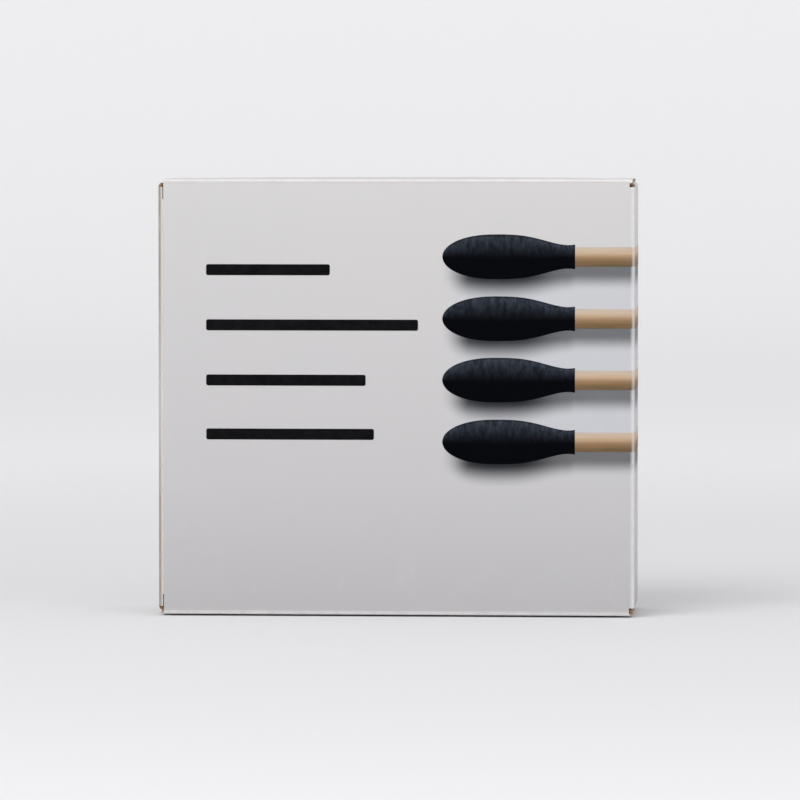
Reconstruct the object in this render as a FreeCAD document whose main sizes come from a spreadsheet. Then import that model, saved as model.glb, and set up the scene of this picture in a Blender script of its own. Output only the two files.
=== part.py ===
"""Cotton swab box: a folding carton with a tuck lid and a tuck bottom, full of swabs standing upright.

Millimetres, +Z up, +X to the right along the front panel, origin under the middle of the box on the
surface it stands on. The front panel faces -Y. The carton is one folded sheet of board, apart from its
two closures, which move: the lid is hinged along the top of the back panel, and the bottom flap along
the foot of the front panel, so the one is the other turned half a turn about the width of the box.
"""

import FreeCAD, Part
import math
import os
import Sketcher

SIZES = {
    # carton
    "box_width": 86.5,
    "box_depth": 24.0,
    "box_height": 79.0,
    "board": 0.5,
    "fold_radius": 0.8,
    "seam_setback": 0.2,
    "front_edge_drop": 0.6,
    "flap_gap": 0.1,
    "crease_gap": 0.1,
    "glue_flap_length": 11.0,
    "glue_flap_drop": 2.2,
    "glue_flap_taper": 2.5,
    "dust_flap_length": 22.0,
    "dust_flap_shoulder": 6.0,
    "dust_flap_taper": 3.0,
    "dust_flap_side_gap": 0.3,
    # lid and bottom flap
    "lid_side_gap": 0.5,
    "lid_fold_radius": 0.7,
    "tongue_depth": 11.0,
    "tongue_gap": 0.35,
    "tongue_inset": 1.5,
    "tongue_taper": 0.8,
    "tongue_corner": 7.0,
    "slit_length": 5.0,
    "slit_width": 0.3,
    # swabs
    "stick_diameter": 2.2,
    "tip_length": 14.4,
    "tip_belly": 4.9,
    "tip_nose_radius": 1.5,
    "tip_neck_diameter": 2.8,
    "tip_end_cover": 1.2,
    "stick_fit_gap": 0.05,
    "swabs_in_row": 20,
    "row_count": 5,
    "packing_gap": 0.15,
    "swab_headroom": 1.65,
}

doc = FreeCAD.newDocument("cotton_swab_box")
sheet = doc.addObject("Spreadsheet::Sheet", "Sizes")
for line, (alias, value) in enumerate(SIZES.items(), start=1):
    sheet.set(f"A{line}", alias)
    sheet.set(f"B{line}", str(value))
    sheet.setAlias(f"B{line}", alias)
doc.recompute()

# Lengths that several pieces share, as expressions of the sheet
HALF_WIDTH = "Sizes.box_width / 2"
HALF_DEPTH = "Sizes.box_depth / 2"
HALF_HEIGHT = "Sizes.box_height / 2"
BOARD = "Sizes.board"
FOLD = "Sizes.fold_radius"
INNER_FOLD = f"({FOLD} - {BOARD})"
# From the outside of a side panel to where the front panel is cut, clear of the fold
CUT_EDGE = f"({FOLD} + Sizes.seam_setback)"
# Upper face of the folded-in dust flaps, and the level where the side panels start to fold
DUST_FLAP_FACE = f"({HALF_HEIGHT} - {BOARD} - Sizes.flap_gap)"
WALL_END = f"({DUST_FLAP_FACE} - {FOLD})"
# The tongue follows a circle about its hinge, so it slides in and out behind the panel without bending
TONGUE_OUTSIDE = f"(Sizes.box_depth - {BOARD} - Sizes.tongue_gap)"
TONGUE_INSIDE = f"({TONGUE_OUTSIDE} - {BOARD})"
# The closure and the panel it hangs on meet in a mitre, open by the crease gap
CREASE_ANGLE = f"asin(Sizes.crease_gap / (2 * {BOARD}))"
CREASE_STEP = "Sizes.crease_gap / sqrt(2)"


def start_sketch(body, name, plane, offset="0"):
    """A sketch on one of the body's own planes, moved along the plane's normal."""
    sketch = body.newObject("Sketcher::SketchObject", name)
    origin_plane = next(part for part in body.Origin.OriginFeatures if part.Role == plane)
    sketch.AttachmentSupport = [(origin_plane, "")]
    sketch.MapMode = "FlatFace"
    sketch.setExpression("AttachmentOffset.Base.z", offset)
    return sketch


def arc_between(start, end, radius, turn):
    """The short arc from start to end, turning left for turn 1 and right for turn -1."""
    chord = end - start
    height = math.sqrt(max(radius**2 - chord.Length**2 / 4, 0))
    aside = FreeCAD.Vector(-chord.y, chord.x, 0).normalize() * turn
    centre = (start + end) / 2 + aside * height
    first, last = (start, end) if turn > 0 else (end, start)
    angles = [math.atan2(point.y - centre.y, point.x - centre.x) for point in (first, last)]
    circle = Part.Circle(centre, FreeCAD.Vector(0, 0, 1), radius)
    return Part.ArcOfCircle(circle, *angles)


def draw_outline(sketch, corners, bends=None):
    """A closed outline through corners, pairs of expressions, each held by two bound dimensions.

    bends maps a corner to (radius, turn), where the edge that leaves this corner is an arc."""
    bends = bends or {}
    places = [FreeCAD.Vector(*(float(sketch.evalExpression(way)) for way in corner)) for corner in corners]
    first_edge = sketch.GeometryCount
    ends = []
    for number, start in enumerate(places):
        end = places[(number + 1) % len(places)]
        if number in bends:
            radius, turn = bends[number]
            arc = arc_between(start, end, float(sketch.evalExpression(radius)), turn)
            edge = sketch.addGeometry(arc, False)
            ends.append((1, 2) if turn > 0 else (2, 1))
            bend = sketch.addConstraint(Sketcher.Constraint("Radius", edge, sketch.Geometry[edge].Radius))
            sketch.renameConstraint(bend, f"bend_{edge}")
            sketch.setExpression(f"Constraints.bend_{edge}", radius)
        else:
            sketch.addGeometry(Part.LineSegment(start, end), False)
            ends.append((1, 2))
    for number, corner in enumerate(corners):
        edge = first_edge + number
        before = first_edge + (number - 1) % len(corners)
        meeting = Sketcher.Constraint("Coincident", before, ends[number - 1][1], edge, ends[number][0])
        sketch.addConstraint(meeting)
        for kind, way, place in zip(("DistanceX", "DistanceY"), corner, places[number]):
            size = sketch.addConstraint(Sketcher.Constraint(kind, -1, 1, edge, ends[number][0], place))
            sketch.renameConstraint(size, f"{kind}_{edge}")
            sketch.setExpression(f"Constraints.{kind}_{edge}", way)


def add_feature(body, kind, name, sketch, length=None, symmetric=False, flipped=False):
    """A pad or pocket of a sketch. Without a length it runs through everything."""
    feature = body.newObject(f"PartDesign::{kind}", name)
    feature.Profile = sketch
    if symmetric:
        feature.SideType = "Symmetric"
    if length is None:
        feature.Type = "ThroughAll"
    else:
        feature.setExpression("Length", length)
    feature.Reversed = flipped
    return feature


def axis_of(body, role):
    return next(part for part in body.Origin.OriginFeatures if part.Role == role)


def draw_sleeve_section(sketch):
    """The four panels seen from above. The sheet ends in the cut edge of the front panel at the left,
    and in the glue flap, which the left panel folds into behind it."""
    left, right, front, back = f"-{HALF_WIDTH}", HALF_WIDTH, f"-{HALF_DEPTH}", HALF_DEPTH
    outside = [
        (f"{left} + {CUT_EDGE}", front),
        (f"{right} - {FOLD}", front),
        (right, f"{front} + {FOLD}"),
        (right, f"{back} - {FOLD}"),
        (f"{right} - {FOLD}", back),
        (f"{left} + {FOLD}", back),
        (left, f"{back} - {FOLD}"),
        (left, f"{front} + {BOARD} + {FOLD}"),
        (f"{left} + {FOLD}", f"{front} + {BOARD}"),
        (f"{left} + {CUT_EDGE}", f"{front} + {BOARD}"),
    ]
    draw_outline(sketch, outside, {corner: (FOLD, 1) for corner in (1, 3, 5, 7)})
    inside = [
        (f"{left} + {FOLD}", f"{front} + 2 * {BOARD}"),
        (f"{left} + Sizes.glue_flap_length", f"{front} + 2 * {BOARD}"),
        (f"{left} + Sizes.glue_flap_length", f"{front} + {BOARD}"),
        (f"{right} - {FOLD}", f"{front} + {BOARD}"),
        (f"{right} - {BOARD}", f"{front} + {FOLD}"),
        (f"{right} - {BOARD}", f"{back} - {FOLD}"),
        (f"{right} - {FOLD}", f"{back} - {BOARD}"),
        (f"{left} + {FOLD}", f"{back} - {BOARD}"),
        (f"{left} + {BOARD}", f"{back} - {FOLD}"),
        (f"{left} + {BOARD}", f"{front} + {BOARD} + {FOLD}"),
    ]
    draw_outline(sketch, inside, {corner: (INNER_FOLD, 1) for corner in (3, 5, 7, 9)})


def draw_glue_flap_ends(sketch):
    """What is trimmed off the glue flap at its top and foot."""
    for end in (1, -1):
        start = f"{WALL_END} - Sizes.glue_flap_drop"
        trimmed = [
            (f"-{HALF_WIDTH} + {FOLD}", f"{end} * ({start})"),
            (f"-{HALF_WIDTH} + Sizes.glue_flap_length", f"{end} * ({start} - Sizes.glue_flap_taper)"),
            (f"-{HALF_WIDTH} + Sizes.glue_flap_length", f"{end} * {WALL_END}"),
            (f"-{HALF_WIDTH} + {FOLD}", f"{end} * {WALL_END}"),
        ]
        draw_outline(sketch, trimmed)


def draw_panel_ends(sketch):
    """Above the sleeve, seen from the right: the cut top of the front panel, and the top of the back
    panel, which rounds off towards the mitre at the hinge of the lid."""
    front_panel = [
        (f"-{HALF_DEPTH}", WALL_END),
        (f"-{HALF_DEPTH} + {BOARD}", WALL_END),
        (f"-{HALF_DEPTH} + {BOARD}", f"{HALF_HEIGHT} - Sizes.front_edge_drop"),
        (f"-{HALF_DEPTH}", f"{HALF_HEIGHT} - Sizes.front_edge_drop"),
    ]
    draw_outline(sketch, front_panel)
    mitre = f"(45 deg - {CREASE_ANGLE})"
    back_panel = [
        (f"{HALF_DEPTH} - {BOARD}", WALL_END),
        (HALF_DEPTH, WALL_END),
        (HALF_DEPTH, f"{HALF_HEIGHT} - {BOARD}"),
        (f"{HALF_DEPTH} - {BOARD} * (1 - cos{mitre})", f"{HALF_HEIGHT} - {BOARD} * (1 - sin{mitre})"),
        (f"{HALF_DEPTH} - {BOARD}", f"{HALF_HEIGHT} - {BOARD} - {CREASE_STEP}"),
    ]
    draw_outline(sketch, back_panel, {2: (BOARD, 1)})


def draw_dust_flaps(sketch):
    """The two side panels folding in at the top, seen from the front."""
    for side in (1, -1):
        wall = f"{side} * {HALF_WIDTH}"
        profile = [
            (f"{wall} - {side} * {BOARD}", WALL_END),
            (wall, WALL_END),
            (f"{wall} - {side} * {FOLD}", DUST_FLAP_FACE),
            (f"{wall} - {side} * Sizes.dust_flap_length", DUST_FLAP_FACE),
            (f"{wall} - {side} * Sizes.dust_flap_length", f"{DUST_FLAP_FACE} - {BOARD}"),
            (f"{wall} - {side} * {FOLD}", f"{DUST_FLAP_FACE} - {BOARD}"),
        ]
        draw_outline(sketch, profile, {1: (FOLD, side), 5: (INNER_FOLD, -side)})


def draw_dust_flap_tapers(sketch, near, far):
    """What is trimmed off the dust flaps beyond their shoulders, seen from above."""
    for side in (1, -1):
        shoulder = f"{side} * ({HALF_WIDTH} - Sizes.dust_flap_shoulder)"
        tip = f"{side} * ({HALF_WIDTH} - Sizes.dust_flap_length)"
        for edge, inward in ((near, "+"), (far, "-")):
            trimmed = [
                (shoulder, edge),
                (tip, f"{edge} {inward} Sizes.dust_flap_taper"),
                (tip, edge),
            ]
            draw_outline(sketch, trimmed)


def make_carton():
    """The folded and glued sheet: four panels, the glue flap and the four dust flaps."""
    body = doc.addObject("PartDesign::Body", "carton_body")
    body.setExpression("Placement.Base.z", HALF_HEIGHT)

    section = start_sketch(body, "sleeve_section", "XY_Plane")
    draw_sleeve_section(section)
    add_feature(body, "Pad", "sleeve", section, f"2 * {WALL_END}", symmetric=True)

    ends = start_sketch(body, "glue_flap_ends", "XZ_Plane", f"{HALF_DEPTH} - 2 * {BOARD}")
    draw_glue_flap_ends(ends)
    add_feature(body, "Pocket", "glue_flap_trim", ends, BOARD, flipped=True)

    tops = start_sketch(body, "panel_end_section", "YZ_Plane")
    draw_panel_ends(tops)
    width = f"Sizes.box_width - 2 * {CUT_EDGE}"
    panel_ends = add_feature(body, "Pad", "panel_ends", tops, width, symmetric=True)

    # The dust flaps lie between the inside of the tongue and the panel at the hinge
    near = f"{HALF_DEPTH} - {TONGUE_INSIDE} + Sizes.flap_gap"
    far = f"{HALF_DEPTH} - {BOARD} - Sizes.dust_flap_side_gap"
    folds = start_sketch(body, "dust_flap_section", "XZ_Plane", f"-({far})")
    draw_dust_flaps(folds)
    flaps = add_feature(body, "Pad", "dust_flaps", folds, f"({far}) - ({near})")

    tapers = start_sketch(body, "dust_flap_taper", "XY_Plane", f"{WALL_END}")
    draw_dust_flap_tapers(tapers, near, far)
    trims = add_feature(body, "Pocket", "dust_flap_trim", tapers, f"{HALF_HEIGHT} - {WALL_END}", flipped=True)

    foot = body.newObject("PartDesign::PolarPattern", "reversed_foot")
    foot.Originals = [panel_ends, flaps, trims]
    foot.Axis = (axis_of(body, "X_Axis"), [""])
    foot.Angle = 360
    foot.Occurrences = 2
    body.Tip = foot
    return body


def draw_closure(sketch):
    """The closure from its hinge to the tip of its tongue, seen from the right."""
    def at_hinge_distance(forward, down):
        return f"{HALF_DEPTH} - ({forward})", f"{HALF_HEIGHT} - ({down})"

    fold = "Sizes.lid_fold_radius"
    fold_reach = f"({TONGUE_OUTSIDE} - {fold})"
    fold_forward = f"sqrt({fold_reach}^2 - {fold}^2)"
    tip_forward = f"sqrt({TONGUE_OUTSIDE}^2 - Sizes.tongue_depth^2)"
    mitre = f"(45 deg + {CREASE_ANGLE})"

    def on_circle(radius, forward, down, reach):
        return at_hinge_distance(f"{forward} * {radius} / {reach}", f"{down} * {radius} / {reach}")

    corners = [
        at_hinge_distance(f"{BOARD} + {CREASE_STEP}", BOARD),
        at_hinge_distance(f"{BOARD} * (1 - cos{mitre})", f"{BOARD} * (1 - sin{mitre})"),
        at_hinge_distance(BOARD, "0"),
        at_hinge_distance(fold_forward, "0"),
        on_circle(TONGUE_OUTSIDE, fold_forward, fold, fold_reach),
        at_hinge_distance(tip_forward, "Sizes.tongue_depth"),
        on_circle(TONGUE_INSIDE, tip_forward, "Sizes.tongue_depth", TONGUE_OUTSIDE),
        on_circle(TONGUE_INSIDE, fold_forward, fold, fold_reach),
        at_hinge_distance(fold_forward, BOARD),
    ]
    bends = {
        1: (BOARD, 1),
        3: (fold, 1),
        4: (TONGUE_OUTSIDE, 1),
        6: (TONGUE_INSIDE, -1),
        7: (f"{fold} - {BOARD}", -1),
    }
    draw_outline(sketch, corners, bends)


def draw_tongue_sides(sketch):
    """What is cut away beside the tongue, seen from the front: the slit along the fold, the tapered
    side and the round corner of the tip."""
    for side in (1, -1):
        tongue_side = f"({HALF_WIDTH} - Sizes.tongue_inset)"
        tip_side = f"({tongue_side} - Sizes.tongue_taper)"
        slit_end = f"({tongue_side} - Sizes.slit_length)"
        fold_line = f"{HALF_HEIGHT} - Sizes.lid_fold_radius"
        tip = f"{HALF_HEIGHT} - Sizes.tongue_depth"
        corners = [
            (f"{side} * {HALF_WIDTH}", fold_line),
            (f"{side} * {slit_end}", fold_line),
            (f"{side} * {slit_end}", f"{fold_line} - Sizes.slit_width"),
            (f"{side} * {tongue_side}", f"{fold_line} - Sizes.slit_width"),
            (f"{side} * {tip_side}", f"{tip} + Sizes.tongue_corner"),
            (f"{side} * ({tip_side} - Sizes.tongue_corner)", tip),
            (f"{side} * ({tip_side} - Sizes.tongue_corner)", f"{tip} - {BOARD}"),
            (f"{side} * {HALF_WIDTH}", f"{tip} - {BOARD}"),
        ]
        draw_outline(sketch, corners, {4: ("Sizes.tongue_corner", -side)})


def make_closure(name, turned):
    """The panel and tongue that close one end. The bottom flap is the lid turned about the width."""
    body = doc.addObject("PartDesign::Body", name)
    body.Placement = FreeCAD.Placement(FreeCAD.Vector(), FreeCAD.Rotation(FreeCAD.Vector(1, 0, 0), turned))
    body.setExpression("Placement.Base.z", HALF_HEIGHT)

    section = start_sketch(body, f"{name}_section", "YZ_Plane")
    draw_closure(section)
    width = "Sizes.box_width - 2 * Sizes.lid_side_gap"
    add_feature(body, "Pad", f"{name}_sheet", section, width, symmetric=True)

    sides = start_sketch(body, f"{name}_tongue_sides", "XZ_Plane")
    draw_tongue_sides(sides)
    body.Tip = add_feature(body, "Pocket", f"{name}_tongue_cut", sides, symmetric=True)
    return body


# The swabs stand on the folded-in dust flaps of the foot, with some headroom below the upper ones
SEAT = f"(2 * {BOARD} + Sizes.flap_gap + Sizes.packing_gap)"
SWAB_LENGTH = f"(Sizes.box_height - {SEAT} - 2 * {BOARD} - Sizes.flap_gap - Sizes.swab_headroom)"
# They stand in rows from front to back. At the top the tongue keeps the tips off the front panel, and at
# the foot the other tongue keeps them off the back panel, so the rows lean back by a few degrees.
TONGUE_TIP_REACH = f"sqrt({TONGUE_INSIDE}^2 - Sizes.tongue_depth^2)"
DEPTH_ROOM = f"({TONGUE_TIP_REACH} - 2 * {BOARD} - 2 * Sizes.packing_gap)"
WIDTH_ROOM = f"(Sizes.box_width - 2 * {BOARD} - 2 * Sizes.packing_gap)"
# The tips are as thick as both rooms allow. Within a row they stand side by side, with half a pitch left
# over for the set-over rows, and from row to row each tip lies in the gap of two others, 60 degrees aside.
ROW_STEPS = "(Sizes.row_count - 1)"
SWAB_STEPS = "(Sizes.swabs_in_row - 0.5)"
WIDTH_FIT = f"(({WIDTH_ROOM} - {SWAB_STEPS} * Sizes.packing_gap) / ({SWAB_STEPS} + 1))"
DEPTH_STEPS = f"({ROW_STEPS} * sin(60 deg))"
DEPTH_FIT = f"(({DEPTH_ROOM} - {DEPTH_STEPS} * Sizes.packing_gap) / ({DEPTH_STEPS} + 1))"
TIP_DIAMETER = f"min({WIDTH_FIT}; {DEPTH_FIT})"
ROW_PITCH = f"(({DEPTH_ROOM} - {TIP_DIAMETER}) / {ROW_STEPS})"
TIP_SPAN = f"({WIDTH_ROOM} - {TIP_DIAMETER})"
SWAB_PITCH = f"({TIP_SPAN} / {SWAB_STEPS})"
LEAN_SHIFT = f"({HALF_DEPTH} - {BOARD} - {TONGUE_TIP_REACH} / 2)"
LEAN = f"atan({LEAN_SHIFT} / ({SWAB_LENGTH} / 2 - Sizes.tip_belly))"


def place_row(body, row):
    """Stand a row's origin, the middle of its first swab, in the box. Every second row is set over by
    half a pitch, so that the tips lie in each other's gaps."""
    body.Placement = FreeCAD.Placement(FreeCAD.Vector(), FreeCAD.Rotation(FreeCAD.Vector(-1, 0, 0), 1))
    body.setExpression("Placement.Rotation.Angle", LEAN)
    set_over = (row % 2) / 2
    body.setExpression("Placement.Base.x", f"{set_over} * {SWAB_PITCH} - {TIP_SPAN} / 2")
    body.setExpression("Placement.Base.y", f"({row} - {ROW_STEPS} / 2) * {ROW_PITCH}")
    body.setExpression("Placement.Base.z", f"{SEAT} + {SWAB_LENGTH} / 2 * cos({LEAN})")


def repeat_along_row(body, feature):
    pattern = body.newObject("PartDesign::LinearPattern", f"{body.Name}_pattern")
    pattern.Originals = [feature]
    pattern.Direction = (axis_of(body, "X_Axis"), [""])
    pattern.setExpression("Length", f"{SWAB_PITCH} * (Sizes.swabs_in_row - 1)")
    pattern.setExpression("Occurrences", "Sizes.swabs_in_row")
    body.Tip = pattern


def make_sticks(row):
    """The sticks of one row: plain round rods that end inside the cotton tips."""
    body = doc.addObject("PartDesign::Body", f"sticks_row_{row + 1}")
    body.AllowCompound = True
    place_row(body, row)
    section = start_sketch(body, f"{body.Name}_section", "XY_Plane")
    circle = Part.Circle(FreeCAD.Vector(), FreeCAD.Vector(0, 0, 1), sheet.stick_diameter / 2)
    edge = section.addGeometry(circle, False)
    section.addConstraint(Sketcher.Constraint("Coincident", edge, 3, -1, 1))
    size = section.addConstraint(Sketcher.Constraint("Diameter", edge, sheet.stick_diameter))
    section.renameConstraint(size, "stick_size")
    section.setExpression("Constraints.stick_size", "Sizes.stick_diameter")
    length = f"{SWAB_LENGTH} - 2 * Sizes.tip_end_cover"
    rod = add_feature(body, "Pad", f"{body.Name}_rod", section, length, symmetric=True)
    repeat_along_row(body, rod)
    return body


def draw_tip(sketch, end):
    """Half the section of a wound cotton tip: a round nose, the belly, a taper to the square neck and
    the blind hole that holds the stick. end is 1 for the upper tip and -1 for the lower one."""
    nose = "Sizes.tip_nose_radius"
    belly = "Sizes.tip_belly"
    thick = f"({TIP_DIAMETER} / 2)"
    neck = "(Sizes.tip_neck_diameter / 2)"
    hole = "(Sizes.stick_diameter / 2 + Sizes.stick_fit_gap)"
    # The nose and the belly are arcs that meet without a corner, and the belly ends along the axis
    belly_arc = f"(({belly}^2 - 2 * {belly} * {nose} + {thick}^2) / (2 * ({thick} - {nose})))"
    joint_along = f"{belly} - {belly_arc} * ({belly} - {nose}) / ({belly_arc} - {nose})"
    joint_out = f"{thick} - {belly_arc} + {belly_arc} * ({belly_arc} - {thick}) / ({belly_arc} - {nose})"
    taper_arc = f"((Sizes.tip_length - {belly})^2 + ({thick} - {neck})^2) / (2 * ({thick} - {neck}))"

    def from_end(out, along):
        return out, f"{end} * ({SWAB_LENGTH} / 2 - ({along}))"

    corners = [
        from_end("0", "0"),
        from_end(joint_out, joint_along),
        from_end(thick, belly),
        from_end(neck, "Sizes.tip_length"),
        from_end(hole, "Sizes.tip_length"),
        from_end(hole, "Sizes.tip_end_cover - Sizes.stick_fit_gap"),
        from_end("0", "Sizes.tip_end_cover - Sizes.stick_fit_gap"),
    ]
    draw_outline(sketch, corners, {0: (nose, -end), 1: (belly_arc, -end), 2: (taper_arc, -end)})


def make_tips(row, place, end):
    """The cotton tips at the upper or the lower ends of one row."""
    body = doc.addObject("PartDesign::Body", f"{place}_tips_row_{row + 1}")
    body.AllowCompound = True
    place_row(body, row)
    section = start_sketch(body, f"{body.Name}_section", "XZ_Plane")
    draw_tip(section, end)
    tip = body.newObject("PartDesign::Revolution", f"{body.Name}_cotton")
    tip.Profile = section
    tip.ReferenceAxis = (section, ["V_Axis"])
    tip.Angle = 360
    repeat_along_row(body, tip)
    return body


pieces = [make_carton(), make_closure("lid_flap", 0), make_closure("bottom_flap", 180)]
for row in range(int(sheet.row_count)):
    pieces.append(make_sticks(row))
    pieces.append(make_tips(row, "top", 1))
    pieces.append(make_tips(row, "bottom", -1))
doc.recompute()

for item in doc.Objects:
    if "Invalid" in item.State or "Error" in item.State:
        raise RuntimeError(f"{item.Label} did not compute: {item.State}")
for piece in pieces:
    if piece.Shape.isNull() or not piece.Shape.isValid():
        raise RuntimeError(f"{piece.Label} has no valid shape")

os.makedirs("parts", exist_ok=True)
for piece in pieces:
    piece.Shape.exportStep(f"parts/{piece.Label}.step")
    print(piece.Label, len(piece.Shape.Solids), "solids", round(piece.Shape.Volume, 2), "mm3")
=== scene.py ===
"""Looks of the cotton swab box: board, print, cotton and bamboo, with the room, lamps and camera."""
import math

import bmesh
import bpy
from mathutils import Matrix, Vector


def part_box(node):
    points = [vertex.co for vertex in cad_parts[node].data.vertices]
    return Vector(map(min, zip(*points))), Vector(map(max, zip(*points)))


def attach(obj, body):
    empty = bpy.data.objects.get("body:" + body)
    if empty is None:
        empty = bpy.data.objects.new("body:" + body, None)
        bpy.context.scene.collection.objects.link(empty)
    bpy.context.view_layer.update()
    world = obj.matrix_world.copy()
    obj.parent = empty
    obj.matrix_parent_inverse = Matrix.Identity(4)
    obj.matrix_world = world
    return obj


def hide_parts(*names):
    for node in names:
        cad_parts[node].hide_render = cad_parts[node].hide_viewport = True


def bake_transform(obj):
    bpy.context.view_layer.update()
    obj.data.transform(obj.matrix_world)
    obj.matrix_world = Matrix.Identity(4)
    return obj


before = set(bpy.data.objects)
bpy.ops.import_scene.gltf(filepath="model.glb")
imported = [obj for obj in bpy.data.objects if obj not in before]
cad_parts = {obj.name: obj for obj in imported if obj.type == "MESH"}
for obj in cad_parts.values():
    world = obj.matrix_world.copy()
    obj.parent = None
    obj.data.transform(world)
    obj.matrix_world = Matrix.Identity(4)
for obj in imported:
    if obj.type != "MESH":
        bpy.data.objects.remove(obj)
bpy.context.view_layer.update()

MM = 0.001
HALF_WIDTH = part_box("carton_body")[1].x
HALF_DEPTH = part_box("carton_body")[1].y
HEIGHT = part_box("lid_flap")[1].z

# Board and folds, as in the solids
BOARD = 0.5 * MM
FOLD = 0.8 * MM
CUT_EDGE = 1.0 * MM
FLAP_GAP = 0.1 * MM
FRONT_EDGE_DROP = 0.6 * MM
GLUE_FLAP_LENGTH = 11 * MM
GLUE_FLAP_DROP = 2.2 * MM
GLUE_FLAP_TAPER = 2.5 * MM
GLUE_LAYER = 0.02 * MM
DUST_FLAP_LENGTH = 22 * MM
DUST_FLAP_SHOULDER = 6 * MM
DUST_FLAP_TAPER = 3 * MM
DUST_FLAP_SIDE_GAP = 0.3 * MM
LID_SIDE_GAP = 0.5 * MM
LID_FOLD = 0.7 * MM
TONGUE_DEPTH = 11 * MM
TONGUE_GAP = 0.35 * MM
TONGUE_INSET = 1.5 * MM
TONGUE_TAPER = 0.8 * MM
TONGUE_CORNER = 7 * MM
SLIT_LENGTH = 5 * MM
SLIT_WIDTH = 0.3 * MM
DUST_FLAP_FACE = HEIGHT - BOARD - FLAP_GAP
WALL_TOP = DUST_FLAP_FACE - FOLD
WALL_FOOT = HEIGHT - WALL_TOP
GLUE_FLAP_TOP = WALL_TOP - GLUE_FLAP_DROP
GLUE_FLAP_FOOT = HEIGHT - GLUE_FLAP_TOP
TONGUE_OUTSIDE = 2 * HALF_DEPTH - BOARD - TONGUE_GAP

# How far the filled box swells in the middle of its panels
WIDE_SWELL = 0.35 * MM
NARROW_SWELL = 0.12 * MM
CLOSURE_SWELL = 0.3 * MM
# The lid's sheet starts this far below the top of the back panel, so that it holds the crease
CREASE_START = 1.0 * MM

# The facets of a panel are no longer than this. A fold and a tongue's corner have this many.
FACET = 2.4 * MM
FOLD_PARTS = 6
TONGUE_CORNER_PARTS = 8
# Edges that turn by more degrees than this stay sharp
SHARP_TURN = 40
# Points of a sheet are told apart in this many steps a metre, and places along it by this length
POINT_STEPS = 1e7
SAME_PLACE = 1e-9
# Lengths in the UV maps are stored at this scale
UV_SCALE = 10

# The printed swabs, measured round the box from the left end of the front
PRINT_LEVELS = [65.0 * MM, 53.8 * MM, 42.7 * MM, 31.5 * MM]
PRINT_TIP = 51.7 * MM
PRINT_TIP_LENGTH = 24.0 * MM
PRINT_TIP_THICKNESS = 8.1 * MM
PRINT_STICK_THICKNESS = 3.5 * MM
PRINT_BACK_NECK = 38.0 * MM
PRINT_SHADE_DEPTH = 4.4 * MM
PRINT_SHADE_FLAT = 1.2 * MM
BAR_LEVELS = [62.6 * MM, 52.6 * MM, 42.6 * MM, 32.8 * MM]
BAR_WIDTHS = [22.5 * MM, 38.5 * MM, 29 * MM, 30.5 * MM]
BAR_START = 8.8 * MM
BAR_THICKNESS = 2.0 * MM
BAR_CORNER = 0.35 * MM
INK_LIFT = 0.02 * MM


def linear(red, green, blue):
    """A screen colour, 0 to 255, as the linear colour that Blender's shaders take."""
    def one(value):
        value /= 255
        return value / 12.92 if value <= 0.04045 else ((value + 0.055) / 1.055) ** 2.4
    return (one(red), one(green), one(blue), 1)


def clamp(value, low, high):
    """The value, held between low and high."""
    return min(max(value, low), high)


def even_parts(start, end, count):
    """Where this many equal parts from start to end begin and end."""
    return [start + (end - start) * part / count for part in range(count + 1)]


def spread(start, end, step=FACET):
    """Values from start to end, evenly spaced and no further apart than step."""
    return even_parts(start, end, max(1, math.ceil(abs(end - start) / step)))


def dome(share):
    """1 in the middle of a run, falling along a parabola to 0 at its ends."""
    return 1 - (2 * clamp(share, 0.0, 1.0) - 1) ** 2


def mesh_data(name, mesh):
    """Mesh data of this name from a bmesh, which is used up."""
    data = bpy.data.meshes.new(name)
    mesh.to_mesh(data)
    mesh.free()
    return data


def add_object(name, data):
    """A new object of the scene with this data."""
    made = bpy.data.objects.new(name, data)
    bpy.context.scene.collection.objects.link(made)
    return made


# Round the box: each place is told by how far round it lies from the left end of the front panel

CORNER_RUN = math.pi / 2 * FOLD
FRONT_RUN = 2 * HALF_WIDTH - FOLD
SIDE_FROM = FRONT_RUN + CORNER_RUN
SIDE_RUN = 2 * HALF_DEPTH - 2 * FOLD
BACK_FROM = SIDE_FROM + SIDE_RUN + CORNER_RUN
BACK_RUN = 2 * HALF_WIDTH - 2 * FOLD
LEFT_FROM = BACK_FROM + BACK_RUN + CORNER_RUN
LEFT_RUN = SIDE_RUN - BOARD
GLUE_FROM = LEFT_FROM + LEFT_RUN + CORNER_RUN
GLUE_RUN = GLUE_FLAP_LENGTH - FOLD
ROUND_END = GLUE_FROM + GLUE_RUN
FOLD_PLACES = [FRONT_RUN + CORNER_RUN / 2, BACK_FROM - CORNER_RUN / 2, LEFT_FROM - CORNER_RUN / 2,
               GLUE_FROM - CORNER_RUN / 2]


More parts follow.
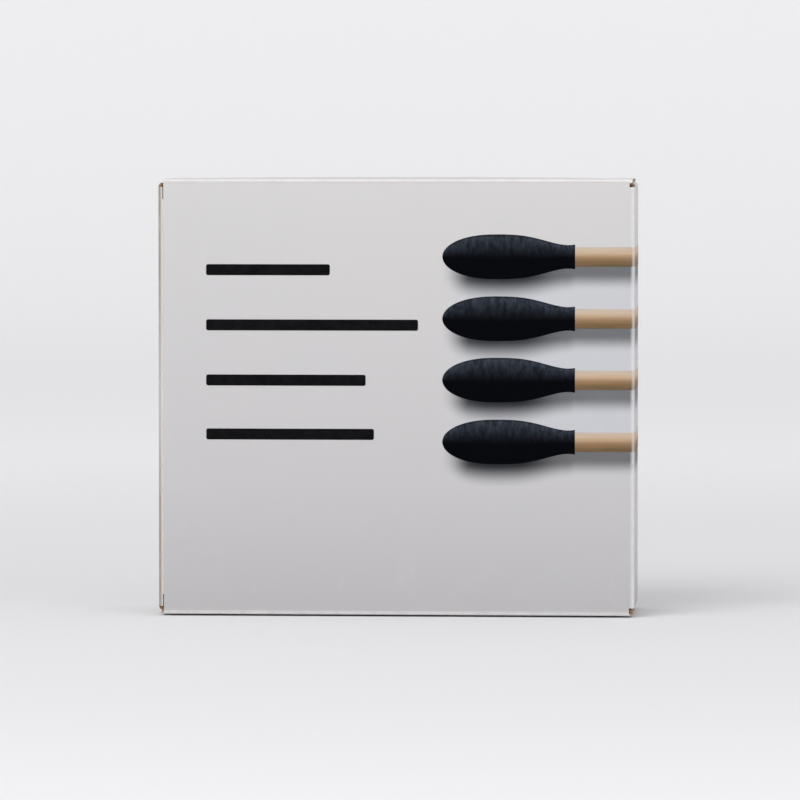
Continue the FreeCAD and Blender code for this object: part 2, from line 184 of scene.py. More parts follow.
def round_box(run, level):
    """The place and outward direction of a point of the outer face, run round the box and level up."""
    rise = dome((level - WALL_FOOT) / (WALL_TOP - WALL_FOOT))
    if run <= FRONT_RUN:
        swell = WIDE_SWELL * rise * dome((run - CUT_EDGE) / (FRONT_RUN - CUT_EDGE))
        return Vector((run - HALF_WIDTH, -HALF_DEPTH - swell, level)), Vector((0, -1, 0))
    if run < SIDE_FROM:
        return round_corner(HALF_WIDTH - FOLD, -HALF_DEPTH + FOLD, -90, (run - FRONT_RUN) / CORNER_RUN, level)
    if run <= SIDE_FROM + SIDE_RUN:
        way = run - SIDE_FROM
        swell = NARROW_SWELL * rise * dome(way / SIDE_RUN)
        return Vector((HALF_WIDTH + swell, way - HALF_DEPTH + FOLD, level)), Vector((1, 0, 0))
    if run < BACK_FROM:
        share = (run - SIDE_FROM - SIDE_RUN) / CORNER_RUN
        return round_corner(HALF_WIDTH - FOLD, HALF_DEPTH - FOLD, 0, share, level)
    if run <= BACK_FROM + BACK_RUN:
        way = run - BACK_FROM
        swell = WIDE_SWELL * rise * dome(way / BACK_RUN)
        return Vector((HALF_WIDTH - FOLD - way, HALF_DEPTH + swell, level)), Vector((0, 1, 0))
    if run < LEFT_FROM:
        share = (run - BACK_FROM - BACK_RUN) / CORNER_RUN
        return round_corner(-HALF_WIDTH + FOLD, HALF_DEPTH - FOLD, 90, share, level)
    if run <= LEFT_FROM + LEFT_RUN:
        way = run - LEFT_FROM
        swell = NARROW_SWELL * rise * dome(way / LEFT_RUN)
        return Vector((-HALF_WIDTH - swell, HALF_DEPTH - FOLD - way, level)), Vector((-1, 0, 0))
    if run < GLUE_FROM:
        share = (run - LEFT_FROM - LEFT_RUN) / CORNER_RUN
        return round_corner(-HALF_WIDTH + FOLD, -HALF_DEPTH + BOARD + FOLD + GLUE_LAYER, 180, share, level)
    way = run - GLUE_FROM
    along = -HALF_WIDTH + FOLD + way
    swell = WIDE_SWELL * rise * dome((along + HALF_WIDTH - CUT_EDGE) / (FRONT_RUN - CUT_EDGE))
    return Vector((along, -HALF_DEPTH + BOARD + GLUE_LAYER - swell, level)), Vector((0, -1, 0))


def round_corner(x, y, start, share, level):
    """The same for a point of the fold about x and y, at a share of its quarter turn from start degrees."""
    angle = math.radians(start + 90 * share)
    out = Vector((math.cos(angle), math.sin(angle), 0))
    return Vector((x, y, level)) + out * FOLD, out


class Sheet:
    """A folded sheet, gathered as faces of its outer side. Points that fall together are one vertex."""

    def __init__(self):
        self.mesh = bmesh.new()
        self.seen = {}
        self.unfolded = self.mesh.loops.layers.uv.new("unfolded")

    def vertex(self, place):
        """The vertex at this place, made if there is none yet."""
        key = tuple(round(part * POINT_STEPS) for part in place)
        if key not in self.seen:
            self.seen[key] = self.mesh.verts.new(place)
        return self.seen[key]

    def face(self, corners):
        """One face. Each corner is a place and its mark in the unfolded sheet, and those that fall
        together are one corner."""
        kept = {}
        for place, mark in corners:
            kept.setdefault(self.vertex(place), mark)
        if len(kept) < 3:
            return
        face = self.mesh.faces.new(kept)
        for loop in face.loops:
            loop[self.unfolded].uv = kept[loop.vert]

    def patch(self, columns, rows, place, flipped=False):
        """Faces between columns and rows. A row is (level, low, high, low above, high above): its columns
        are held between low and high there, and between the last two at the next row's level."""
        for (level, low, high, low_above, high_above), (level_above, *_) in zip(rows, rows[1:]):
            for left, right in zip(columns, columns[1:]):
                spots = [
                    (clamp(left, low, high), level),
                    (clamp(right, low, high), level),
                    (clamp(right, low_above, high_above), level_above),
                    (clamp(left, low_above, high_above), level_above),
                ]
                if flipped:
                    spots.reverse()
                self.face([(place(*spot), (spot[0] * UV_SCALE, spot[1] * UV_SCALE)) for spot in spots])

    def finish(self, name, materials):
        """The sheet as an object of its real thickness, its cut edges and inside in the second material."""
        piece = add_object(name, mesh_data(name, self.mesh))
        for material in materials:
            piece.data.materials.append(material)
        solid = piece.modifiers.new("board", "SOLIDIFY")
        solid.thickness = BOARD
        solid.offset = -1
        solid.use_even_offset = True
        solid.material_offset = 1
        solid.material_offset_rim = 1
        apply_modifiers(piece)
        soften(piece, SHARP_TURN)
        return piece


def apply_modifiers(piece):
    """Gives the piece the mesh that its modifiers make, and takes them off."""
    bpy.context.view_layer.update()
    made = bpy.data.meshes.new_from_object(piece.evaluated_get(bpy.context.evaluated_depsgraph_get()))
    piece.modifiers.clear()
    piece.data = made


def soften(piece, degrees):
    """Smooth shading, with edges sharper than this many degrees left sharp."""
    piece.data.shade_smooth()
    mesh = bmesh.new()
    mesh.from_mesh(piece.data)
    for edge in mesh.edges:
        edge.smooth = not (len(edge.link_faces) == 2 and edge.calc_face_angle(0) > math.radians(degrees))
    mesh.to_mesh(piece.data)
    mesh.free()


def straight(levels, low, high):
    """Rows of a patch at these levels, all held between low and high."""
    return [(level, low, high, low, high) for level in levels]


# Materials

# Tones of the printed grey field, from the foot of the box to its top. Their darkening towards the foot is
# painted shade.
FIELD_TONES_WITH_SHADE = [(0.0, linear(186, 184, 185)), (0.3, linear(199, 197, 198)), (0.87, linear(209, 207, 207)),
               (1.0, linear(212, 210, 210))]
# Pale of the painted highlights along folds, and of the scuffs near the foot, which are wear
FOLD_HIGHLIGHT_AND_SCUFF = linear(236, 235, 234)
# Brown-grey of the painted shade in the recessed fold at the left of the front
RECESS_SHADE_BROWN = linear(156, 143, 126)
SHADE_INK = linear(16, 19, 26)
COOL_INK = linear(196, 200, 208)


class Shader:
    """A material and its nodes, with short ways to add and join them."""

    def __init__(self, name, roughness, specular):
        self.material = bpy.data.materials.new(name)
        self.material.use_nodes = True
        self.tree = self.material.node_tree
        self.surface = self.tree.nodes["Principled BSDF"]
        self.surface.inputs["Roughness"].default_value = roughness
        self.surface.inputs["Specular IOR Level"].default_value = specular

    def node(self, kind, values=None, **settings):
        """A node of this kind. values feeds its inputs, by name or number."""
        made = self.tree.nodes.new(f"ShaderNode{kind}")
        for key, value in settings.items():
            setattr(made, key, value)
        for key, value in (values or {}).items():
            self.feed(made.inputs[key], value)
        return made

    def feed(self, socket, value):
        """Links the input to another node's output, or sets it to a plain value."""
        if isinstance(value, bpy.types.NodeSocket):
            self.tree.links.new(value, socket)
        else:
            socket.default_value = value

    def math(self, operation, *values):
        return self.node("Math", dict(enumerate(values)), operation=operation).outputs[0]

    def mix(self, share, first, second):
        """The first colour, with this share of the second."""
        return self.node("Mix", {0: share, 6: first, 7: second}, data_type="RGBA").outputs[2]

    def band(self, value, low, high, to_low=0.0, to_high=1.0):
        """A value between low and high, as a smooth step from to_low to to_high."""
        made = self.node("MapRange", {0: value, 1: low, 2: high, 3: to_low, 4: to_high},
                         interpolation_type="SMOOTHSTEP")
        return made.outputs[0]

    def ramp(self, value, stops):
        """A colour read off stops, each a value and a tone."""
        made = self.node("ValToRGB", {0: value})
        elements = made.color_ramp.elements
        elements[0].position, elements[0].color = stops[0]
        elements[1].position, elements[1].color = stops[-1]
        for position, tone in stops[1:-1]:
            elements.new(position).color = tone
        return made.outputs[0]

    def curve(self, value, points):
        """A value read off a line through points."""
        made = self.node("FloatCurve", {"Value": value})
        line = made.mapping.curves[0]
        line.points[0].location = points[0]
        line.points[1].location = points[-1]
        for point in points[1:-1]:
            line.points.new(*point)
        for point in line.points:
            point.handle_type = "VECTOR"
        made.mapping.update()
        return made.outputs[0]

    def place(self):
        """Where the point lies in the frame, in metres."""
        return self.node("TexCoord").outputs["Object"]

    def level(self):
        """The height of the point above the foot of the box."""
        return self.node("SeparateXYZ", {0: self.place()}).outputs[2]

    def stretched(self, along_x, along_y, along_z):
        """The point's place, scaled on each axis. Below 1 it draws a texture out along that axis."""
        return self.node("Mapping", {"Vector": self.place(), "Scale": (along_x, along_y, along_z)}).outputs[0]

    def noise(self, scale, detail=3.0, roughness=0.5, vector=None):
        """Noise from 0 to 1 at the point's place, or at another vector."""
        values = {"Vector": vector or self.place(), "Scale": scale, "Detail": detail, "Roughness": roughness}
        return self.node("TexNoise", values).outputs["Fac"]

    def unfolded(self, name):
        """The two marks of the point in the UV map of this name."""
        parts = self.node("SeparateXYZ", {0: self.node("UVMap", uv_map=name).outputs[0]})
        return parts.outputs[0], parts.outputs[1]

    def bump(self, height, strength, distance, normal=None):
        """The normal of a surface with this relief, on top of another normal's if there is one."""
        values = {"Height": height, "Strength": strength, "Distance": distance}
        if normal is not None:
            values["Normal"] = normal
        return self.node("Bump", values).outputs[0]

    def finish(self, colour, normal=None, roughness=None):
        """The material, with what changes from point to point."""
        self.feed(self.surface.inputs["Base Color"], colour)
        if normal is not None:
            self.feed(self.surface.inputs["Normal"], normal)
        if roughness is not None:
            self.feed(self.surface.inputs["Roughness"], roughness)
        return self.material


def painted_fold_line(shader, along, place, half_width):
    """How strongly painted light lies on a patchy line along a fold at this place of the sheet."""
    away = shader.math("ABSOLUTE", shader.math("SUBTRACT", along, place * UV_SCALE))
    line = shader.band(away, half_width * UV_SCALE, 0.1 * half_width * UV_SCALE)
    patches = shader.band(shader.noise(420.0, 4.0, 0.65), 0.3, 0.62, 0.65, 1.0)
    return shader.math("MULTIPLY", line, patches)


def board_surface(shader, colour):
    """The field's mottling, light scuffs near the foot, and the board's faint tooth and waviness."""
    level = shader.level()
    cloud = shader.band(shader.noise(45.0, 4.0), 0.35, 0.75)
    colour = shader.mix(shader.math("MULTIPLY", cloud, 0.06), colour, COOL_INK)
    streaks = shader.noise(240.0, 5.0, 0.6, shader.stretched(1.0, 1.0, 0.35))
    scuffs = shader.math("MULTIPLY", shader.band(streaks, 0.6, 0.78), shader.band(level, 22 * MM, 3 * MM))
    colour = shader.mix(shader.math("MULTIPLY", scuffs, 0.09), colour, FOLD_HIGHLIGHT_AND_SCUFF)
    normal = shader.bump(shader.noise(90.0, 2.0), 0.25, 0.12 * MM)
    normal = shader.bump(shader.noise(3800.0, 2.0), 0.08, 0.02 * MM, normal)
    roughness = shader.band(shader.noise(130.0, 4.0), 0.3, 0.7, 0.42, 0.55)
    return shader.finish(colour, normal, roughness)


def printed_board():
    """The carton's printed side: a grey field with painted shade that deepens towards the foot, the printed
    soft shade below each printed swab, patchy painted highlights along the folds, and painted shade in a
    recessed fold."""
    shader = Shader("printed_board", roughness=0.5, specular=0.3)
    level = shader.level()
    # Painted shade: the field darkens towards the foot
    colour = shader.ramp(shader.math("DIVIDE", level, HEIGHT), FIELD_TONES_WITH_SHADE)
    run, up = shader.unfolded("unfolded")
    colour = add_swab_shade(shader, colour, run, up)
    # Patchy painted highlights along the folds
    for fold_place in FOLD_PLACES[:3]:
        fold_highlight = painted_fold_line(shader, run, fold_place, 0.8 * MM)
        colour = shader.mix(shader.math("MULTIPLY", fold_highlight, 0.75), colour, FOLD_HIGHLIGHT_AND_SCUFF)
    # The fold behind the cut edge of the front panel lies recessed and gets brown-grey painted shade, most at
    # its top and foot, and then a pale painted highlight
    recess_shade = painted_fold_line(shader, run, FOLD_PLACES[3] - FOLD / 8, 1.0 * MM)
    ends = shader.math("MAXIMUM", shader.band(level, 0.45 * HEIGHT, 0.85 * HEIGHT, 0.3, 1.0),
                       shader.band(level, 0.5 * HEIGHT, 0.15 * HEIGHT, 0.3, 1.0))
    colour = shader.mix(shader.math("MULTIPLY", recess_shade, ends), colour, RECESS_SHADE_BROWN)
    edge_highlight = painted_fold_line(shader, run, GLUE_FROM, 0.45 * MM)
    colour = shader.mix(shader.math("MULTIPLY", edge_highlight, 0.85), colour, FOLD_HIGHLIGHT_AND_SCUFF)
    return board_surface(shader, colour)


def printed_flap():
    """The printed side of the lid and the bottom flap, with painted shade deepening towards the foot and
    patchy painted highlights along the crease and the fold.
    """
    shader = Shader("printed_flap", roughness=0.5, specular=0.3)
    # Painted shade: the field darkens towards the foot
    colour = shader.ramp(shader.math("DIVIDE", shader.level(), HEIGHT), FIELD_TONES_WITH_SHADE)
    way = shader.unfolded("unfolded")[1]
    # Patchy painted highlights along the crease and the fold
    for fold_place in (LID_FROM - BOARD * math.pi / 4, LID_TO + LID_FOLD * math.pi / 4):
        fold_highlight = painted_fold_line(shader, way, fold_place, 0.9 * MM)
        colour = shader.mix(shader.math("MULTIPLY", fold_highlight, 0.8), colour, FOLD_HIGHLIGHT_AND_SCUFF)
    return board_surface(shader, colour)


def fade(shader, along, gone, full):
    """0 at one place of the sheet and beyond it, 1 at the other, with a smooth step between them."""
    return shader.band(along, gone * UV_SCALE, full * UV_SCALE)


def swab_half(shader, run):
    """Half the height of the printed swabs at a place round the box, at the UV maps' scale."""
    steps = 20
    outline = [(step / steps, tip_outline(step / steps)) for step in range(steps)]
    outline.append((1.0, PRINT_STICK_THICKNESS / PRINT_TIP_THICKNESS))
    half = PRINT_STICK_THICKNESS / 2 * UV_SCALE
    for outer, neck in PRINT_TIP_RUNS:
        along = shader.node("MapRange", {0: run, 1: outer * UV_SCALE, 2: neck * UV_SCALE}).outputs[0]
        tip = shader.math("MULTIPLY", shader.curve(along, outline), PRINT_TIP_THICKNESS / 2 * UV_SCALE)
        half = shader.math("MAXIMUM", half, tip)
    return half


def add_swab_shade(shader, colour, run, up):
    """The printed swabs' shade on the field: dark right below them, gone a few millimetres further down,
    and a cool tone between them."""
    pitch = PRINT_LEVELS[0] - PRINT_LEVELS[1]
    above = 0.3 * pitch
    down = shader.math("SUBTRACT", (PRINT_LEVELS[0] + above) * UV_SCALE, up)
    inside = shader.math("MULTIPLY", shader.math("GREATER_THAN", down, 0.0),
                         shader.math("LESS_THAN", down, len(PRINT_LEVELS) * pitch * UV_SCALE))
    below = shader.math("SUBTRACT", shader.math("MODULO", down, pitch * UV_SCALE), above * UV_SCALE)
    ends_faded = shader.math("MULTIPLY",
                             fade(shader, run, PRINT_TIP - 0.5 * MM, PRINT_TIP + 5 * MM),
                             fade(shader, run, PRINT_BACK_TIP + 0.5 * MM, PRINT_BACK_TIP - 5 * MM))

    half = swab_half(shader, run)
    sizes = [PRINT_STICK_THICKNESS / 2 * UV_SCALE, PRINT_TIP_THICKNESS / 2 * UV_SCALE]
    gap = shader.math("SUBTRACT", below, half)
    flat = shader.band(half, *sizes, PRINT_SHADE_FLAT * UV_SCALE, 0.0)
    fading = shader.band(gap, PRINT_SHADE_DEPTH * UV_SCALE, flat)
    under = fade(shader, gap, -1.2 * MM, 0.0)
    depth = shader.band(half, *sizes, 0.76, 1.0)
    share = shader.math("MULTIPLY", shader.math("MULTIPLY", fading, under), inside)
    share = shader.math("MULTIPLY", shader.math("MULTIPLY", share, depth), ends_faded)

    field = shader.math("MULTIPLY",
                        fade(shader, up, PRINT_LEVELS[-1] - 9 * MM, PRINT_LEVELS[-1] + 1 * MM),
                        fade(shader, up, PRINT_LEVELS[0] + 3 * MM, PRINT_LEVELS[0] - 3 * MM))
    field = shader.math("MULTIPLY", shader.math("MULTIPLY", field, ends_faded), 0.45)
    colour = shader.mix(field, colour, COOL_INK)
    return shader.mix(share, colour, SHADE_INK)


def raw_board():
    """The brown inside and cut edges of the board, with short fibres and a few dark specks."""
    shader = Shader("raw_board", roughness=0.85, specular=0.2)
    fibre = shader.noise(1500.0, 5.0, 0.7)
    colour = shader.mix(shader.band(fibre, 0.3, 0.7), linear(160, 124, 97), linear(188, 155, 127))
    cloud = shader.band(shader.noise(60.0, 3.0), 0.3, 0.7, 0.0, 0.3)
    colour = shader.mix(cloud, colour, linear(174, 142, 114))
    specks = shader.band(shader.noise(900.0, 2.0), 0.68, 0.74)
    colour = shader.mix(shader.math("MULTIPLY", specks, 0.4), colour, linear(112, 84, 62))
    return shader.finish(colour, shader.bump(fibre, 0.3, 0.05 * MM))


def cotton():
    """Tightly wound black cotton: fine turns round the tip, loose fibres and a faint sheen."""
    shader = Shader("black_cotton", roughness=0.95, specular=0.12)
    shader.surface.inputs["Sheen Weight"].default_value = 0.4
    shader.surface.inputs["Sheen Roughness"].default_value = 0.5
    shader.surface.inputs["Sheen Tint"].default_value = linear(120, 128, 142)
    winding = {"Vector": shader.place(), "Scale": 560.0, "Distortion": 7.0, "Detail": 3.0,
               "Detail Scale": 0.9}
    turns = shader.node("TexWave", winding, bands_direction="Z").outputs["Fac"]
    strands = shader.noise(1900.0, 5.0, 0.65, shader.stretched(1.0, 1.0, 2.4))
    fibre = shader.noise(8000.0, 3.0, 0.65)
    height = shader.math("ADD", shader.math("MULTIPLY", turns, 0.1),
                         shader.math("MULTIPLY_ADD", fibre, 0.35, shader.math("MULTIPLY", strands, 0.8)))
    colour = shader.mix(shader.band(height, 0.45, 0.82), linear(10, 12, 17), linear(50, 57, 68))
    return shader.finish(colour, shader.bump(height, 0.9, 0.16 * MM))


def bamboo():
    """Pale sanded bamboo with fine grain along the stick."""
    shader = Shader("bamboo", roughness=0.55, specular=0.3)
    lengthwise = shader.stretched(1.0, 1.0, 0.04)
    grain = shader.noise(2600.0, 5.0, 0.6, lengthwise)
    tone = shader.noise(300.0, 2.0, 0.5, lengthwise)
    colour = shader.mix(shader.band(grain, 0.3, 0.7), linear(196, 158, 116), linear(224, 192, 152))
    colour = shader.mix(shader.band(tone, 0.35, 0.7, 0.0, 0.4), colour, linear(206, 176, 132))
    return shader.finish(colour, shader.bump(grain, 0.25, 0.03 * MM))


def swab_grain(shader, along, across, along_scale, across_scale):
    """Noise along and across a printed swab that differs from one swab to the next."""
    number = shader.math("MULTIPLY", shader.level(), 60.0)
    spot = shader.node("CombineXYZ", {0: shader.math("MULTIPLY", along, along_scale),
                                      1: shader.math("MULTIPLY", across, across_scale), 2: number})
    return shader.noise(1.0, 4.0, 0.65, spot.outputs[0])


def printed_cotton():
    """Ink of the printed tips: near black below, with mottled turns that grow paler towards the top."""
    shader = Shader("printed_cotton", roughness=0.6, specular=0.03)
    along, across = shader.unfolded("swab")
    turns = swab_grain(shader, along, across, 130.0, 3.5)
    rise = shader.math("POWER", shader.node("MapRange", {0: across, 1: 0.42, 2: 0.95}).outputs[0], 1.6)
    lit = shader.math("MULTIPLY", rise, shader.band(across, 1.0, 0.93, 0.55, 1.0))
    lit = shader.math("MULTIPLY", lit, shader.band(turns, 0.3, 0.72, 0.3, 1.0))
    return shader.finish(shader.mix(lit, linear(3, 4, 8), linear(64, 71, 82)))


def printed_bamboo():
    """Ink of the printed sticks: pale along the top, deeper below, with a dark lower edge, and a patchy
    painted highlight where the sheet folds."""
    shader = Shader("printed_bamboo", roughness=0.55, specular=0.2)
    along, across = shader.unfolded("swab")
    stops = [(0.0, linear(98, 80, 56)), (0.16, linear(108, 87, 60)), (0.3, linear(132, 104, 74)),
             (0.45, linear(154, 124, 94)), (0.6, linear(190, 160, 130)), (0.72, linear(205, 181, 156)),
             (1.0, linear(202, 188, 172))]
    grain = shader.band(swab_grain(shader, along, across, 9.0, 5.0), 0.35, 0.7, 0.0, 0.25)
    colour = shader.mix(grain, shader.ramp(across, stops), linear(168, 130, 94))
    # Patchy painted highlight where the sheet folds
    for fold_place in FOLD_PLACES[:2]:
        fold_highlight = painted_fold_line(shader, along, fold_place, 0.55 * MM)
        colour = shader.mix(shader.math("MULTIPLY", fold_highlight, 0.55), colour, FOLD_HIGHLIGHT_AND_SCUFF)
    return shader.finish(colour)


def printed_dark():
    """Ink of the bars, a little uneven."""
    shader = Shader("printed_dark", roughness=0.6, specular=0.05)
    colour = shader.mix(shader.band(shader.noise(700.0), 0.3, 0.7), linear(10, 10, 12), linear(18, 18, 20))
    return shader.finish(colour)


# The carton

def make_carton(outer, inner):
    """The glued sheet: four panels, glue flap, the cut top of the front panel, and the dust flaps."""
    sheet = Sheet()
    flap_near = HALF_DEPTH - TONGUE_OUTSIDE + BOARD + FLAP_GAP
    flap_far = HALF_DEPTH - BOARD - DUST_FLAP_SIDE_GAP

    def panel(start, end, marks):
        """Columns across a panel, some of them at given marks, and the columns of the fold after it."""
        stops = sorted({start, end, *marks})
        columns = [value for low, high in zip(stops, stops[1:]) for value in spread(low, high)]
        return columns + [end + part for part in even_parts(0, CORNER_RUN, FOLD_PARTS)[1:-1]]

    def side_marks(side_from):
        """Where the sides of the dust flaps meet a side panel."""
        middle = side_from - FOLD + HALF_DEPTH
        return [middle + depth for depth in (flap_near, -flap_near, flap_far, -flap_far)]

    front_end = FRONT_RUN + FOLD - CUT_EDGE
    back_ends = [BACK_FROM - FOLD + CUT_EDGE, BACK_FROM + BACK_RUN + FOLD - CUT_EDGE]
    runs = panel(CUT_EDGE, FRONT_RUN, [front_end])
    runs += panel(SIDE_FROM, SIDE_FROM + SIDE_RUN, side_marks(SIDE_FROM))
    runs += panel(BACK_FROM, BACK_FROM + BACK_RUN, back_ends)
    runs += panel(LEFT_FROM, LEFT_FROM + LEFT_RUN, side_marks(LEFT_FROM))
    runs = sorted({run for run in runs if run < GLUE_FROM} | {GLUE_FROM})

    def outside(run, level):
        return round_box(run, level)[0]

    # The walls have rows where the glue flap has its own, so that the two are one sheet
    beside_flap = spread(GLUE_FLAP_FOOT, GLUE_FLAP_TOP)
    levels = [WALL_FOOT, *beside_flap, WALL_TOP]
    sheet.patch(runs, straight(levels, CUT_EDGE, GLUE_FROM), outside)
    make_glue_flap(sheet, beside_flap)

    # Beyond the walls. The last stretch at each hinge belongs to the sheet of the lid or bottom flap.
    crease_top = HEIGHT - CREASE_START
    ends = [
        (CUT_EDGE, front_end, [WALL_TOP, HEIGHT - FRONT_EDGE_DROP]),
        (CUT_EDGE, front_end, [HEIGHT - crease_top, WALL_FOOT]),
        (*back_ends, [WALL_TOP, crease_top]),
        (*back_ends, [FRONT_EDGE_DROP, WALL_FOOT]),
    ]
    for low, high, levels in ends:
        sheet.patch(runs, straight(levels, low, high), outside)

    for side_from, side_run, outward in ((SIDE_FROM, SIDE_RUN, 1), (LEFT_FROM, LEFT_RUN, -1)):
        depths = [(run - side_from + FOLD - HALF_DEPTH) * outward for run in runs
                  if side_from - SAME_PLACE < run < side_from + side_run + SAME_PLACE]
        for end in (1, -1):
            make_dust_flap(sheet, sorted(depths), outward, end, flap_near, flap_far)
    piece = sheet.finish("carton_sheet", [outer, inner])
    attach(piece, "carton")
    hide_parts("carton_body")


def make_glue_flap(sheet, levels):
    """The flap behind the front panel, trimmed at a slant at its top and foot. It leaves the fold at these
    levels."""
    middle = HEIGHT / 2

    def place(column, level):
        slant = GLUE_FLAP_TAPER * (column - GLUE_FROM) / GLUE_RUN
        narrowed = 1 - slant / (GLUE_FLAP_TOP - middle)
        return round_box(column, middle + (level - middle) * narrowed)[0]

    sheet.patch(spread(GLUE_FROM, ROUND_END), straight(levels, GLUE_FROM, ROUND_END), place)


def make_dust_flap(sheet, depths, outward, end, near, far):
    """One dust flap, from the fold at the end of a side panel to its tapered free edge. outward is 1 at
    the right and -1 at the left, and end is 1 at the top and -1 at the foot."""
    low, high = (near, far) if end > 0 else (-far, -near)
    low, high = max(low, depths[0]), min(high, depths[-1])
    shoulder = CORNER_RUN + DUST_FLAP_SHOULDER - FOLD
    tip = CORNER_RUN + DUST_FLAP_LENGTH - FOLD
    ways = even_parts(0, CORNER_RUN, FOLD_PARTS)[:-1] + spread(CORNER_RUN, shoulder)
    ways += spread(shoulder, tip)[1:]

    def limits(way):
        taper = DUST_FLAP_TAPER * clamp((way - shoulder) / (tip - shoulder), 0, 1)
        return low + taper, high - taper

    def place(depth, way):
        angle = min(way / FOLD, math.pi / 2)
        inward = FOLD * (1 - math.cos(angle)) + max(way - CORNER_RUN, 0)
        rise = FOLD * math.sin(angle)
        level = WALL_TOP + rise if end > 0 else WALL_FOOT - rise
        return Vector((outward * (HALF_WIDTH - inward), depth, level))

    rows = [(here, *limits(here), *limits(there)) for here, there in zip(ways, ways[1:] + ways[-1:])]
    columns = [depth for depth in depths if low - SAME_PLACE < depth < high + SAME_PLACE]
    sheet.patch(columns, rows, place, flipped=outward * end < 0)


# The lid and the bottom flap: lengths along the sheet, from where it leaves the panel it hangs on

CREASE_RUN = CREASE_START - BOARD
LID_FROM = CREASE_RUN + math.pi / 2 * BOARD
FOLD_REACH = TONGUE_OUTSIDE - LID_FOLD
FOLD_FORWARD = math.sqrt(FOLD_REACH**2 - LID_FOLD**2)
FOLD_SLOPE = math.asin(LID_FOLD / FOLD_REACH)
LID_TO = LID_FROM + FOLD_FORWARD - BOARD
TONGUE_FROM = LID_TO + (math.pi / 2 + FOLD_SLOPE) * LID_FOLD
TONGUE_TO = TONGUE_FROM + (math.asin(TONGUE_DEPTH / TONGUE_OUTSIDE) - FOLD_SLOPE) * TONGUE_OUTSIDE


def closure_profile(way):
    """How far forward of the hinge and how far below the top the outer face of the lid's sheet lies."""
    if way <= CREASE_RUN:
        return 0.0, CREASE_START - way
    if way <= LID_FROM:
        angle = (way - CREASE_RUN) / BOARD
        return BOARD * (1 - math.cos(angle)), BOARD * (1 - math.sin(angle))
    if way <= LID_TO:
        return BOARD + way - LID_FROM, 0.0
    if way <= TONGUE_FROM:
        angle = (way - LID_TO) / LID_FOLD
        return FOLD_FORWARD + LID_FOLD * math.sin(angle), LID_FOLD * (1 - math.cos(angle))
    angle = FOLD_SLOPE + (way - TONGUE_FROM) / TONGUE_OUTSIDE
    return TONGUE_OUTSIDE * math.cos(angle), TONGUE_OUTSIDE * math.sin(angle)


def tapered(ways, halves):
    """Rows of a patch along these ways, each held to its half width there and at the next way."""
    return [(way, -half, half, -next_half, next_half)
            for way, half, next_half in zip(ways, halves, halves[1:])]


def closure_grid():
    """Rows and columns of the lid's sheet: its crease, panel, fold, slits and round tongue."""
    half = HALF_WIDTH - LID_SIDE_GAP
    tongue_half = HALF_WIDTH - TONGUE_INSET
    tip_half = tongue_half - TONGUE_TAPER
    slit_half = tongue_half - SLIT_LENGTH
    slit_from = LID_TO + math.pi / 2 * LID_FOLD
    slit_to = slit_from + SLIT_WIDTH
    corner_from = TONGUE_TO - TONGUE_CORNER
    stretches = [
        ([0, CREASE_RUN / 2, CREASE_RUN], HALF_WIDTH - CUT_EDGE, HALF_WIDTH - CUT_EDGE),
        (even_parts(CREASE_RUN, LID_FROM, FOLD_PARTS), HALF_WIDTH - CUT_EDGE, half),
        (spread(LID_FROM, LID_TO), half, half),
        (even_parts(LID_TO, slit_from, FOLD_PARTS), half, half),
        ([slit_from, slit_to], slit_half, slit_half),
        (spread(slit_to, corner_from, 1 * MM), tongue_half, tip_half),
    ]
    rows = []
    for ways, start, end in stretches:
        halves = [start + (end - start) * (way - ways[0]) / (ways[-1] - ways[0]) for way in ways]
        rows += tapered(ways, halves)
    turns = even_parts(0, math.pi / 2, TONGUE_CORNER_PARTS)
    rows += tapered([corner_from + TONGUE_CORNER * math.sin(turn) for turn in turns],
                    [tip_half - TONGUE_CORNER * (1 - math.cos(turn)) for turn in turns])
    rows.append((TONGUE_TO, 0, 0, 0, 0))
    marks = [slit_half, *spread(slit_half, tongue_half, 1.5 * MM), half]
    columns = {round(mark, 9) for mark in spread(-slit_half, slit_half) + marks + [-mark for mark in marks]}
    return rows, sorted(columns)


def make_closure(name, node, outer, inner, turned):
    """The lid, or turned half a turn about the width, the bottom flap. Both are slightly crowned."""
    def place(across, way):
        forward, down = closure_profile(way)
        crown = CLOSURE_SWELL * dome((way - LID_FROM) / (LID_TO - LID_FROM))
        crown *= dome((across / HALF_WIDTH + 1) / 2)
        if turned:
            return Vector((across, forward - HALF_DEPTH, down - crown))
        return Vector((across, HALF_DEPTH - forward, HEIGHT - down + crown))

    sheet = Sheet()
    rows, columns = closure_grid()
    sheet.patch(columns, rows, place, flipped=True)
    piece = sheet.finish(name, [outer, inner])
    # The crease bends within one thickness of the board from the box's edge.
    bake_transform(piece)
    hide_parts(node)


# The print

PRINT_BACK_NECK_RUN = BACK_FROM - FOLD + PRINT_BACK_NECK
PRINT_BACK_TIP = PRINT_BACK_NECK_RUN + PRINT_TIP_LENGTH
PRINT_TIP_RUNS = [(PRINT_TIP, PRINT_TIP + PRINT_TIP_LENGTH), (PRINT_BACK_TIP, PRINT_BACK_NECK_RUN)]


def tip_outline(share):
    """Half the thickness of a printed tip, as a part of its greatest, from its end to its neck: a blunt
    end, a belly, a long fall to the neck and a slight flare at its end."""
    belly = 0.4
    bluntness = 2.2
    neck = 0.52
    fall_run = 0.56
    flare_from = 0.94
    if share < belly:
        return math.sqrt(1 - (1 - share / belly) ** bluntness)
    fall = min((share - belly) / fall_run, 1) ** 1.5
    flare = 0.03 * max((share - flare_from) / (1 - flare_from), 0) ** 2
    return 1 - (1 - neck) * (1 - math.cos(math.pi * fall)) / 2 + flare


